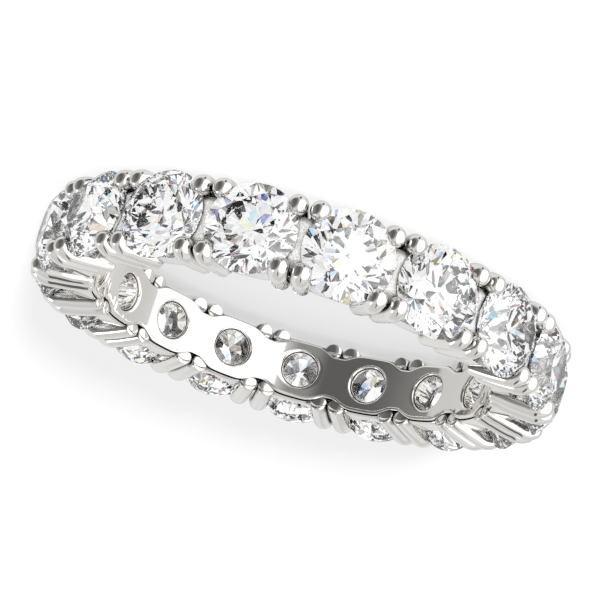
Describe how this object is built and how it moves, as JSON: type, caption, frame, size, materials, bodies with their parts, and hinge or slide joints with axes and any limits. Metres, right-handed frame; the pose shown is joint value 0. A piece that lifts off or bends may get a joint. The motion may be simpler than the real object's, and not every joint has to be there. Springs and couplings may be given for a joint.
{
  "type": "diamond wedding band",
  "caption": "Ring for a finger, set all the way round with round brilliant-cut stones, which domed prongs hold in close pairs between the stones.",
  "frame": {"origin": "on the ring's axis, on the surface that the ring lies on", "axes": "+Z along the ring's axis, +X through the middle of the first stone"},
  "size_m": [0.0226, 0.0228, 0.0037],
  "materials": {
    "white_metal": "polished white gold, rhodium plated",
    "diamond": "colourless diamond, polished facets"
  },
  "bodies": {
    "root": {"band": "white_metal", "stone_01": "diamond", "stone_02": "diamond", "stone_03": "diamond", "stone_04": "diamond", "stone_05": "diamond", "stone_06": "diamond", "stone_07": "diamond", "stone_08": "diamond", "stone_09": "diamond", "stone_10": "diamond", "stone_11": "diamond", "stone_12": "diamond", "stone_13": "diamond", "stone_14": "diamond", "stone_15": "diamond", "stone_16": "diamond", "stone_17": "diamond"}
  },
  "joints": []
}
